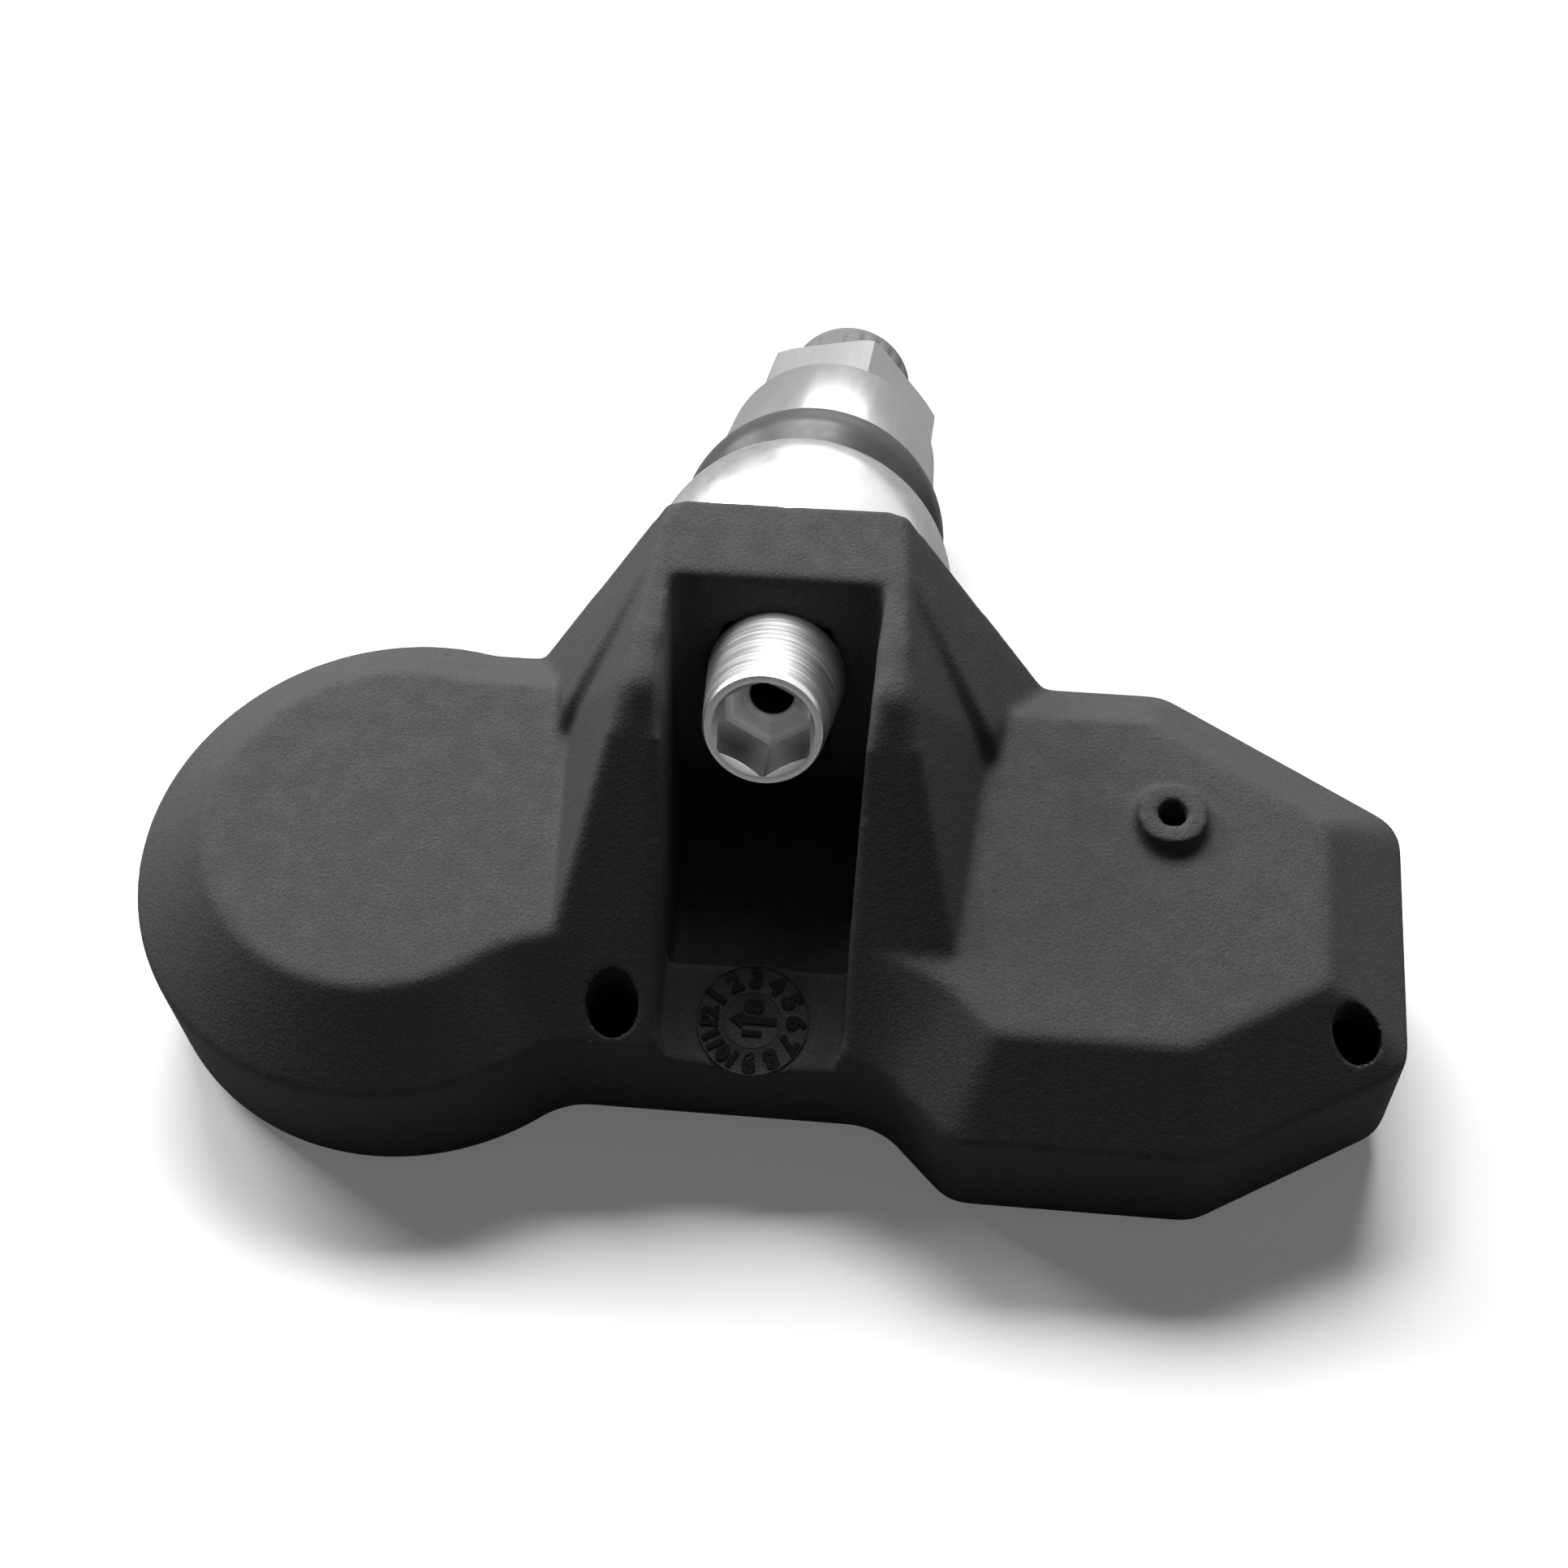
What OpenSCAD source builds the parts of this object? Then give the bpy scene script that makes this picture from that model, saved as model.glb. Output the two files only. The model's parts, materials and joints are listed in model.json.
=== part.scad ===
// Wheel tyre pressure sensor: moulded electronics housing on a clamp-in metal valve.
// It is drawn as it lies on a table, on the front edges of its two pods and on the cap.
// Millimetres. X runs along the housing, Y away from the driver end of the valve, Z up.

/* [Housing] */
// height of the upright pod walls
wall_h = 8.8; // [8:0.1:10]
// height of the flat pod tops
pod_h = 13.0; // [12.4:0.1:14.5]
// outside radius of the round battery pod
bat_pod_r = 15.0; // [14.6:0.1:16]
// battery pod axis to valve axis
bat_pod_x = 21.4; // [20.8:0.1:23]
// valve axis to the far wall of the electronics pod
pod_reach = 35.6; // [34.5:0.1:38]
// run of the sloping shoulder round the pods
bevel = 4.75; // [4:0.05:5.2]
// front wall of both pods, measured from the battery pod axis plane
front_y = 14.8; // [14.5:0.1:15.6]
// front wall between the pods
waist_y = 10.6; // [10.2:0.1:11.2]
// moulded wall thickness
shell = 1.6; // [1.3:0.05:1.9]
// chamfer round the underside
soft = 0.7; // [0.4:0.05:0.9]

/* [Bracket] */
// height of the bracket top
bracket_z = 22.3; // [21.5:0.1:23.5]
// width of the driver channel at the bracket
channel_w = 12.1; // [11.4:0.1:12.6]
// width of the channel at its front end
channel_front_w = 10.4; // [9.8:0.1:11]
// floor of the pocket behind the dial
pocket_z = 6.2; // [5.9:0.05:6.8]
// radius of the mould date dial
dial_r = 3.15; // [2.6:0.05:3.4]

/* [Valve] */
// slope of the valve below the housing base
stem_down = 30; // [27:0.5:33]
// ball centre behind the battery pod axis plane
ball_y = 18.7; // [18.4:0.1:19.4]
// ball centre above the base
ball_z = 11.5; // [11:0.1:12]
// radius of the ball foot
ball_r = 9.2; // [9:0.05:9.4]
// hollow screw, shank radius
shank_r = 2.9; // [2.6:0.05:3]
// hollow screw, narrow end radius
head_r0 = 3.3; // [3.2:0.01:3.5]
// hollow screw, wide end radius
head_r1 = 3.88; // [3.6:0.01:4.1]
// length of the screw head
head_l = 6.7; // [6:0.1:7.4]
// hex socket across flats
socket_af = 5.0; // [4:0.5:5]
// air passage radius
air_r = 1.2; // [1:0.05:1.3]
// swing of the valve in its slot
swing = 25; // [15:1:28]
// valve thread outside radius
thread_r = 3.85; // [3.8:0.01:3.9]
// across flats of the collar nut
nut_af = 12.0; // [11.5:0.1:12.5]
// radius of the nut's round collar at the grommet
collar_r = 7.45; // [7.1:0.05:7.7]
// radius of the collar at the hexagon
collar_r1 = 7.05; // [6.95:0.05:7.4]
// radius of the valve cap
cap_r = 4.46; // [4.4:0.02:4.9]

/* [Electronics] */
// room round the coin cell
cell_room = 1.15; // [1.15:0.05:1.9]
// coin cell thickness
cell_h = 5.0; // [4:0.1:5]
// circuit board thickness
board_t = 1.0; // [0.8:0.1:1.2]

/* [Clearances] */
// gap at surfaces that move on each other
run_gap = 0.05; // [0.03:0.01:0.08]
// gap round pieces that are only dropped in
fit_gap = 0.1; // [0.06:0.01:0.15]

/* [Hidden] */
eps = 0.01;
pod_y = bat_pod_r - front_y;
back_y = pod_y + bat_pod_r - 0.4;
plat_r = bat_pod_r - bevel;
slope = (pod_h - wall_h) / bevel;
post_r = 2.4;
blend_r = 5;
// the blends cut this far into the walls that they meet, so that no faces are tangent
blend_lap = 0.05;
// front left corner of the electronics pod, and where its slanting side meets the bridge
side_x = 11.35;
side_y = 7.55;
// outline of the electronics pod, anticlockwise from the front left corner
pod_poly = [[side_x, -front_y], [pod_reach - 10.7, -front_y], [pod_reach, -8.4],
  [pod_reach, 6.8], [pod_reach - 13.6, back_y], [4, back_y], [4, -side_y]];
// direction of the side between the waist and the electronics pod's front
pod_turn = atan2(front_y - side_y, side_x - 4);
// centres of the two concave blends, tangent to the waist and to each pod
blend_a = [-bat_pod_x + sqrt(pow(bat_pod_r + blend_r, 2) - pow(waist_y + blend_r + pod_y, 2)),
  -waist_y - blend_r + blend_lap];
blend_b = [4 + (waist_y - side_y) / tan(pod_turn) - blend_r * tan(pod_turn / 2) + blend_lap,
  -waist_y - blend_r + blend_lap];
// shifts each side of a convex outline inwards
function unit(v) = v / norm(v);
function side_n(p, i) = let (d = unit(p[(i + 1) % len(p)] - p[i])) [-d[1], d[0]];
function inset(p, d) = [for (i = [0 : len(p) - 1])
  let (a = side_n(p, (i + len(p) - 1) % len(p)), b = side_n(p, i))
  p[i] + (a + b) * d / (1 + a * b)];

// ball, screw and wall positions along the valve, counted from the ball centre
seat_t = 11.3;
head_t = seat_t + run_gap;
head_t2 = head_t + head_l;
ball_flat = 8.6;
rim_t = 2.5;
rim_r = sqrt(ball_r * ball_r - rim_t * rim_t);
neck_r = 4.4;
nut_t = 11.2;
collar_t = 21.8;
hex_t = 28.0;
hex_turn = -9.4;
cap_t = 28.5;
stem_t = 36.2;
seal_t = 0.7;
cap_end = stem_t + seal_t + 1.4;
cap_lip = 0.6;
// the valve core ends flush with the stem
core_l = 8.2;
core_t = stem_t - core_l;
board_z = 2.9;
chip_z = board_z + board_t;
cell_z = 2.2;
lid_t = 1.4;
in_r = bat_pod_r - shell;
cell_r = in_r - cell_room;
in_top = pod_h - shell;
in_wall = wall_h - shell * 0.6;
// the electronics keep their shares of the pod: left edge of the board, then the shares
board_x = 10.4;
part_x = (pod_reach - board_x) / 25.2;
part_y = (back_y + front_y) / 29.6;
part_z = (in_top - chip_z) / 7.5;
port_x = board_x + 11.9 * part_x;
port_y = 18.5 * part_y - front_y;
port_r = 0.8;
dial_y = -7.9;
dial_z = 7.95;
dial_tilt = 13;
wall_y = ball_y + (-seat_t + (bracket_z - ball_z) * sin(stem_down)) / cos(stem_down);
roof_y = wall_y + 5.0;
// lying angle: the pods' front edge and the cap's rim touch the table together
rest_y = -front_y + soft;
function low(t, r) = [ball_y + t * cos(stem_down) - r * sin(stem_down),
  ball_z - t * sin(stem_down) - r * cos(stem_down)];
function lay_of(p) = atan2(-p[1], p[0] - rest_y);
lay = max(lay_of(low(cap_end - cap_lip, cap_r)), lay_of(low(cap_end, cap_r - cap_lip)));
tip = stem_down - lay;
far_y = ball_y * cos(lay) - ball_z * sin(lay)
  + max(cap_end * cos(tip) + (cap_r - cap_lip) * sin(tip),
        (cap_end - cap_lip) * cos(tip) + cap_r * sin(tip));
near_y = -front_y * cos(lay) - wall_h * sin(lay);
move = [(bat_pod_x + bat_pod_r - pod_reach) / 2, -(far_y + near_y) / 2,
  -rest_y * sin(lay)];

plastic = [0.07, 0.07, 0.075];
steel = [0.78, 0.78, 0.80];
alu = [0.72, 0.73, 0.75];
rubber = [0.12, 0.12, 0.13];
tin = [0.80, 0.79, 0.75];
brass = [0.78, 0.62, 0.32];

// from the housing's own frame to the table
module lie() {
  translate(move) rotate([lay, 0, 0]) children();
}

// from the valve's frame, z outwards along the stem, to the table
module valve() {
  lie() translate([0, ball_y, ball_z]) rotate([-90 - stem_down, 0, 0]) children();
}

module post(p, z0, z1, r) {
  translate([p[0], p[1], z0]) cylinder(h = z1 - z0, r = r, $fn = 32);
}

// convex electronics pod, grown or shrunk by d
module pod_body(d, z0, z1, zt, run, chamfer) {
  hull() {
    for (p = inset(pod_poly, post_r)) {
      post(p, z0, z0 + eps, post_r - d - chamfer);
      post(p, z0 + chamfer, z1, post_r - d);
    }
    for (p = inset(pod_poly, run + 0.9)) post(p, zt - eps, zt, 0.9);
  }
}

module round_pod(r, z0, z1, zt, rt, chamfer) {
  translate([-bat_pod_x, pod_y, 0]) rotate_extrude($fn = 128)
    polygon([[0, z0], [r - chamfer, z0], [r, z0 + chamfer], [r, z1], [rt, zt], [0, zt]]);
}

// bar that joins the pods, an even section along X
module bridge() {
  translate([-bat_pod_x, 0, 0]) rotate([90, 0, 90]) linear_extrude(bat_pod_x + 8)
    polygon([[-waist_y + soft, 0], [back_y - soft, 0], [back_y, soft], [back_y, wall_h],
      [back_y - bevel, pod_h], [-waist_y + bevel, pod_h], [-waist_y, wall_h],
      [-waist_y, soft]]);
}

// concave blend in the corner where a pod meets the bridge; turn is the pod side's direction
module blend(centre, turn) {
  reach = (blend_r + bevel) * 1.12;
  translate([centre[0], centre[1], 0]) difference() {
    linear_extrude(pod_h) polygon([[0, 0], reach * [cos(turn), sin(turn)], [0, reach]]);
    rotate_extrude($fn = 96)
      polygon([[0, -1], [blend_r + soft + 1, -1], [blend_r, soft], [blend_r, wall_h],
        [blend_r + bevel, pod_h], [blend_r + bevel, pod_h + 1], [0, pod_h + 1]]);
  }
}

// wedge that carries the bracket, before the channel is cut through it
module wedge() {
  foot_y = bevel - waist_y;
  knee_y = (bracket_z - wall_h) / slope - waist_y;
  hull() {
    for (q = [[11.0, foot_y, pod_h - 1], [12.0, back_y - bevel - 2, pod_h - 1],
        [11.0, foot_y, pod_h], [12.0, back_y - bevel - 2, pod_h],
        [7.7, knee_y, bracket_z], [6.85, wall_y, bracket_z], [6.75, roof_y, bracket_z],
        [6.7, back_y, wall_h]])
      translate([0, q[1], q[2]]) cube([2 * q[0], eps, eps], center = true);
  }
}

// web between the bracket and the back of a pod, with a rounded front edge
module web(s) {
  hull() {
    for (q = [[7.1, wall_y + 0.2, bracket_z - 0.75], [11.75, 7.8, pod_h + 1.3]])
      translate([s * q[0], q[1], q[2]]) sphere(r = 0.5, $fn = 16);
    for (q = [[6.7, roof_y, bracket_z - 0.1], [12.7, back_y - bevel, pod_h + 0.3],
        [15.2, back_y - 0.1, wall_h], [2, back_y - 0.1, wall_h], [12.6, 7.3, wall_h],
        [12.5, 6.9, pod_h], [2, 6.9, pod_h], [2, wall_y, bracket_z - 1.0],
        [2, roof_y, bracket_z - 0.1]])
      translate([s * q[0], q[1], q[2]]) cube(eps, center = true);
  }
}

// driver channel with its rounded front end, cut down to the pocket floor
module channel() {
  w0 = channel_front_w / 2;
  w1 = channel_w / 2;
  difference() {
    union() {
      translate([0, 0, pocket_z]) linear_extrude(30)
        polygon([[-w0, -4.9], [w0, -4.9], [w1, wall_y + 4], [-w1, wall_y + 4]]);
      translate([0, dial_y, dial_z]) rotate([dial_tilt, 0, 0]) linear_extrude(12)
        polygon([[-w0, 8], [-w0, -1], [-w0 + 1.6, -6], [w0 - 1.6, -6], [w0, -1], [w0, 8]]);
    }
    // the wall behind the screw: round below the valve axis, flat above it
    translate([0, ball_y, ball_z]) rotate([0, 90, 0])
      cylinder(h = 40, r = seat_t, center = true, $fn = 128);
    translate([0, ball_y, ball_z]) rotate([-90 - stem_down, 0, 0])
      translate([-20, -30, -seat_t]) cube([40, 30, 30]);
  }
}

// slot that lets the screw swing, from the rest angle down
module slot() {
  g = shank_r + fit_gap;
  a0 = stem_down;
  a1 = stem_down - swing - 1;
  far = 14;
  translate([0, ball_y, ball_z]) rotate([90, 0, -90]) linear_extrude(2 * g, center = true)
    polygon([[-g * sin(a0), g * cos(a0)],
      [far * cos(a0) - g * sin(a0), far * sin(a0) + g * cos(a0)],
      [far * cos(a1) + g * sin(a1), far * sin(a1) - g * cos(a1)],
      [g * sin(a1), -g * cos(a1)]]);
}

// outline of the underside opening, grown by g
module floor2d(g) {
  translate([-bat_pod_x, pod_y]) circle(r = in_r + 0.4 + g, $fn = 128);
  translate([-14, -8 - g]) square([28, 10.5 + 2 * g]);
  intersection() {
    polygon(inset(pod_poly, shell - 0.4 - g));
    translate([board_x - 1.4 - g, -30]) square([60, 60]);
  }
}

module inner_space() {
  round_pod(in_r, lid_t - eps, in_wall, in_top, plat_r - shell * 0.4, 0.2);
  intersection() {
    pod_body(shell, lid_t - eps, in_wall, in_top, bevel + shell * 0.5, 0.2);
    translate([board_x - 0.8, -30, 0]) cube([60, 60, 30]);
  }
  translate([-13, -7.4, lid_t - eps]) cube([26, 9.2, pocket_z - shell - lid_t]);
}

module date_dial() {
  translate([0, dial_y, dial_z]) rotate([dial_tilt, 0, 0]) {
    difference() {
      translate([0, 0, -0.3]) cylinder(h = 0.42, r = dial_r, $fn = 96);
      translate([0, 0, 0.0]) cylinder(h = 1, r = dial_r - 0.14, $fn = 96);
    }
    difference() {
      translate([0, 0, -0.3]) cylinder(h = 0.40, r = dial_r * 0.5, $fn = 64);
      translate([0, 0, 0.0]) cylinder(h = 1, r = dial_r * 0.5 - 0.12, $fn = 64);
    }
    rotate(180) translate([0, 0, -0.2]) linear_extrude(0.32)
      polygon([[-1.2, -0.12], [0.5, -0.12], [0.5, -0.45], [1.3, 0], [0.5, 0.45],
        [0.5, 0.12], [-1.2, 0.12]]);
  }
}

module housing() {
  color(plastic) lie() {
    difference() {
      union() {
        round_pod(bat_pod_r, 0, wall_h, pod_h, plat_r, soft);
        pod_body(0, 0, wall_h, pod_h, bevel, soft);
        bridge();
        wedge();
        web(1);
        web(-1);
        blend(blend_a, atan2(pod_y - blend_a[1], -bat_pod_x - blend_a[0]));
        blend(blend_b, 90 - pod_turn);
        translate([port_x, port_y, pod_h - 1]) cylinder(h = 1.9, r = 1.95, $fn = 48);
        translate([port_x, port_y, pod_h - 0.6]) cylinder(h = 0.8, r1 = 2.9, r2 = 2.1, $fn = 48);
      }
      channel();
      slot();
      inner_space();
      translate([0, 0, -1]) linear_extrude(lid_t + 1) floor2d(0);
      // ball seat
      translate([0, ball_y, ball_z]) sphere(r = ball_r + run_gap, $fn = 96);
      translate([0, ball_y, ball_z]) rotate([-90 - stem_down, 0, 0])
        cylinder(h = 30, r = ball_r + run_gap, $fn = 96);
      // pressure port and the two moulding holes
      translate([port_x, port_y, in_top - 1]) cylinder(h = 9, r = port_r, $fn = 32);
      translate([-7.5, -8.7, wall_h - 3.2]) cylinder(h = 9, r = 1.4, $fn = 40);
      translate([pod_reach - 3.1, -7.4, wall_h - 3.6]) cylinder(h = 9, r = 1.35, $fn = 40);
    }
    date_dial();
  }
}

module base_cover() {
  color([0.10, 0.10, 0.11]) lie() {
    linear_extrude(lid_t) difference() {
      floor2d(-fit_gap / 2);
      translate([-bat_pod_x, pod_y]) circle(r = 1.2, $fn = 32);
    }
    // ring under the cell, open where the lower tab leaves
    difference() {
      translate([-bat_pod_x, pod_y, lid_t]) cylinder(h = cell_z - lid_t, r = cell_r - 2.85, $fn = 96);
      translate([-bat_pod_x, pod_y, 0]) cylinder(h = 9, r = cell_r - 4.05, $fn = 96);
      translate([-bat_pod_x, -6.6, 0]) cube([14, 4.2, 9]);
    }
    for (p = [[2.6, 3.8], [2.6, 23.8], [19.6, 7.3], [19.6, 19.8]])
      translate([board_x + p[0] * part_x, p[1] * part_y - front_y, lid_t]) cylinder(h = board_z - lid_t, r = 1.1, $fn = 32);
  }
}

module cell_can() {
  color(steel) lie() translate([-bat_pod_x, pod_y, cell_z]) difference() {
    translate([0, 0, 0.4]) cylinder(h = cell_h - 0.4, r = cell_r, $fn = 128);
    cylinder(h = 1.0, r = cell_r - 0.55, $fn = 128);
  }
}

module cell_gasket() {
  color([0.25, 0.25, 0.26]) lie() translate([-bat_pod_x, pod_y, cell_z + 0.3]) difference() {
    cylinder(h = 0.7, r = cell_r - 0.55, $fn = 128);
    translate([0, 0, -1]) cylinder(h = 3, r = cell_r - 1.05, $fn = 128);
  }
}

module cell_cap() {
  color(steel) lie() translate([-bat_pod_x, pod_y, cell_z])
    cylinder(h = 1.0, r = cell_r - 1.05, $fn = 128);
}

module tab_plus() {
  z1 = cell_z + cell_h;
  x1 = -bat_pod_x + cell_r + 0.35;
  color(tin) lie() {
    translate([-bat_pod_x - 2, -2.6, z1]) cube([x1 + bat_pod_x + 2.2, 3.6, 0.2]);
    translate([x1, -2.6, chip_z]) cube([0.2, 3.6, z1 - chip_z + 0.2]);
    translate([x1, -2.6, chip_z]) cube([board_x + 3 - x1, 3.6, 0.2]);
  }
}

module tab_minus() {
  color(tin) lie() {
    translate([-bat_pod_x - 1, -6.2, cell_z - 0.2]) cube([board_x + 2.6 + bat_pod_x, 3.4, 0.2]);
    translate([board_x + 1.4, -6.2, cell_z - 0.2]) cube([0.2, 3.4, board_z - cell_z + 0.2]);
  }
}

module circuit_board() {
  color([0.05, 0.25, 0.14]) lie() translate([0, 0, board_z]) linear_extrude(board_t)
    intersection() {
      polygon(inset(pod_poly, shell + 0.9));
      translate([board_x, -30]) square([60, 60]);
    }
}

// a piece on the board, at its share of the pod
module on_board() {
  translate([board_x, -front_y, chip_z]) scale([part_x, part_y, part_z]) children();
}

module pressure_chip() {
  color([0.16, 0.16, 0.17]) lie() translate([port_x, port_y, chip_z]) difference() {
    translate([-3.3 * part_x, -3.3 * part_y, 0]) cube([6.6 * part_x, 6.6 * part_y, 2.4]);
    translate([0, 0, 1.2]) cylinder(h = 3, r = port_r + 0.2, $fn = 32);
  }
}

module port_seal() {
  color(rubber) lie() translate([port_x, port_y, chip_z + 2.4]) difference() {
    cylinder(h = in_top - chip_z - 2.4, r = 1.9, $fn = 48);
    translate([0, 0, -1]) cylinder(h = 20, r = port_r + 0.2, $fn = 32);
  }
}

module rf_chip() {
  color([0.12, 0.12, 0.13]) lie() on_board() translate([5.2, 7.6, 0]) {
    translate([-2.2, -3.2, 0.1]) cube([4.4, 6.4, 1.1]);
    for (s = [-1, 1], i = [-3 : 3])
      translate([s * 2.7 - 0.5, i * 0.85 - 0.15, 0]) cube([1.0, 0.3, 0.35]);
  }
}

module crystal() {
  color(steel) lie() on_board() translate([3.9, 19.4, 0]) hull() {
    for (x = [0, 3.4], y = [0, 1.6]) translate([x, y, 0]) cylinder(h = 1.3, r = 0.6, $fn = 24);
  }
}

module lf_core() {
  color([0.20, 0.19, 0.19]) lie() on_board() translate([10.2, 4.9, 0]) {
    cube([1.6, 3.0, 2.8]);
    translate([6.4, 0, 0]) cube([1.6, 3.0, 2.8]);
    translate([1.2, 0.75, 0.7]) cube([5.6, 1.5, 1.4]);
  }
}

module lf_winding() {
  color([0.62, 0.34, 0.16]) lie() on_board() translate([10.2, 4.9, 0]) difference() {
    translate([1.6, 0.25, 0.2]) cube([4.8, 2.5, 2.4]);
    translate([1.0, 0.75, 0.7]) cube([6.0, 1.5, 1.4]);
  }
}

module antenna() {
  color(tin) lie() on_board() translate([20.8, 8.8, 0]) {
    cube([0.4, 1.6, 4.2]);
    translate([0, 9.4, 0]) cube([0.4, 1.6, 4.2]);
    translate([-1.4, 0, 3.8]) cube([1.8, 11, 0.4]);
  }
}

module capacitors() {
  color([0.70, 0.55, 0.35]) lie() on_board() for (p = [[11.1, 11.4], [13.9, 11.4],
      [16.7, 11.4], [7.2, 24.2], [10, 24.2]])
    translate([p[0], p[1], 0]) cube([2.0, 1.25, 1.0]);
}

module valve_stem() {
  color(steel) valve() difference() {
    union() {
      // ball foot
      intersection() {
        sphere(r = ball_r, $fn = 96);
        translate([0, 0, -ball_flat]) cylinder(h = ball_flat + rim_t, r = ball_r + 1, $fn = 64);
      }
      cylinder(h = nut_t + 4, r = neck_r, $fn = 64);
      cylinder(h = cap_t - 0.6, r = 4.0, $fn = 64);
      cylinder(h = stem_t - 0.4, r = thread_r, $fn = 64);
      translate([0, 0, stem_t - 0.4 - eps])
        cylinder(h = 0.4 + eps, r1 = thread_r, r2 = thread_r - 0.4, $fn = 64);
    }
    translate([0, 0, -20]) cylinder(h = 19, r = shank_r + 0.02, $fn = 48);
    translate([0, 0, -2]) cylinder(h = 40, r = air_r, $fn = 40);
    translate([0, 0, core_t - 3.5]) cylinder(h = 4, r = 1.6, $fn = 40);
    translate([0, 0, core_t]) cylinder(h = 20, r = 2.05, $fn = 40);
  }
}

module hollow_screw() {
  color(steel) valve() difference() {
    union() {
      translate([0, 0, -head_t2]) cylinder(h = head_l - 0.3, r1 = head_r0, r2 = head_r1, $fn = 96);
      translate([0, 0, -head_t - 0.3 - eps]) cylinder(h = 0.3 + eps, r = head_r1, $fn = 96);
      translate([0, 0, -head_t - eps]) cylinder(h = head_t - 1 + eps, r = shank_r, $fn = 64);
    }
    // hex socket, one corner towards the base
    translate([0, 0, -head_t2 - 1]) rotate(30) cylinder(h = 5.4, d = socket_af / cos(30), $fn = 6);
    translate([0, 0, -head_t2 - eps])
      cylinder(h = 0.45, r1 = socket_af / 2 + 0.45, r2 = socket_af / 2, $fn = 64);
    translate([0, 0, -head_t2 - 1]) cylinder(h = 40, r = air_r, $fn = 40);
  }
}

module grommet() {
  color(rubber) valve() rotate_extrude($fn = 96)
    polygon([[neck_r, rim_t], [rim_r - 0.3, rim_t], [rim_r - 0.75, rim_t + 0.8],
      [rim_r - 1.05, rim_t + 1.8], [rim_r - 1.12, rim_t + 2.8], [rim_r - 1.0, rim_t + 3.9],
      [rim_r - 0.78, rim_t + 4.9], [rim_r - 0.62, rim_t + 5.9], [rim_r - 0.65, rim_t + 6.8],
      [rim_r - 0.85, rim_t + 7.7], [collar_r, nut_t], [5.65, nut_t], [5.65, nut_t + 3.4],
      [5.2, nut_t + 4], [neck_r, nut_t + 4]]);
}

module collar_nut() {
  color(alu) valve() difference() {
    union() {
      translate([0, 0, nut_t])
        cylinder(h = collar_t - 0.3 - nut_t, r1 = collar_r, r2 = collar_r1, $fn = 96);
      translate([0, 0, collar_t - 0.3 - eps])
        cylinder(h = 0.3 + eps, r1 = collar_r1, r2 = collar_r1 - 0.3, $fn = 96);
      intersection() {
        translate([0, 0, collar_t - eps]) rotate(hex_turn)
          cylinder(h = hex_t - collar_t + eps, d = nut_af / cos(30), $fn = 6);
        translate([0, 0, nut_t])
          cylinder(h = hex_t - nut_t, r1 = 16, r2 = nut_af / 2 + 0.72, $fn = 96);
      }
    }
    translate([0, 0, nut_t - 1]) cylinder(h = 40, r = 4.03, $fn = 64);
    translate([0, 0, nut_t - 1]) cylinder(h = 5, r = 5.65 + fit_gap, $fn = 64);
  }
}

module core_body() {
  color(brass) valve() difference() {
    union() {
      translate([0, 0, core_t - 1.2]) cylinder(h = 3, r = 1.45, $fn = 40);
      translate([0, 0, core_t + 1.2]) cylinder(h = core_l - 2, r = 2.0, $fn = 40);
    }
    translate([0, 0, core_t - 2]) cylinder(h = 5, r = 0.75, $fn = 32);
    translate([0, 0, core_t + 2.2]) cylinder(h = core_l - 4.8, r = 1.15, $fn = 32);
    translate([0, 0, core_t + 2.2]) cylinder(h = 20, r = 0.4 + run_gap, $fn = 32);
    translate([0, 0, stem_t - 1.6]) cylinder(h = 3, r = 1.2, $fn = 32);
  }
}

module core_gasket() {
  color([0.85, 0.84, 0.78]) valve() translate([0, 0, core_t]) difference() {
    cylinder(h = 1.2, r = 2.0, $fn = 40);
    translate([0, 0, -1]) cylinder(h = 4, r = 1.45, $fn = 40);
  }
}

module core_pin() {
  color(brass) valve() {
    translate([0, 0, core_t - 2.2]) cylinder(h = stem_t - core_t + 2.0, r = 0.4, $fn = 32);
    translate([0, 0, stem_t - 3]) cylinder(h = 0.35, r = 1.05, $fn = 32);
    translate([0, 0, core_t - 2.0]) cylinder(h = 0.5, r = 1.15, $fn = 32);
  }
}

module core_washer() {
  color(rubber) valve() translate([0, 0, core_t - 1.5]) difference() {
    cylinder(h = 0.3, r = 1.15, $fn = 32);
    translate([0, 0, -1]) cylinder(h = 2, r = 0.4, $fn = 32);
  }
}

module valve_cap() {
  color([0.45, 0.45, 0.46]) valve() difference() {
    union() {
      translate([0, 0, cap_t]) cylinder(h = cap_end - cap_lip - cap_t, r = cap_r, $fn = 96);
      translate([0, 0, cap_end - cap_lip - eps])
        cylinder(h = cap_lip + eps, r1 = cap_r, r2 = cap_r - cap_lip, $fn = 96);
    }
    for (i = [0 : 23]) rotate(i * 15) translate([cap_r + 0.12, 0, cap_t + 1.2])
      cylinder(h = cap_end - cap_t - 3.2, r = 0.3, $fn = 16);
    translate([0, 0, cap_t - 1]) cylinder(h = stem_t + seal_t + 1 - cap_t, r = thread_r + run_gap, $fn = 64);
  }
}

module cap_seal() {
  color(rubber) valve() translate([0, 0, stem_t]) difference() {
    cylinder(h = seal_t - 0.03, r = thread_r, $fn = 64);
    translate([0, 0, -1]) cylinder(h = 3, r = 1.3, $fn = 40);
  }
}

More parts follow.
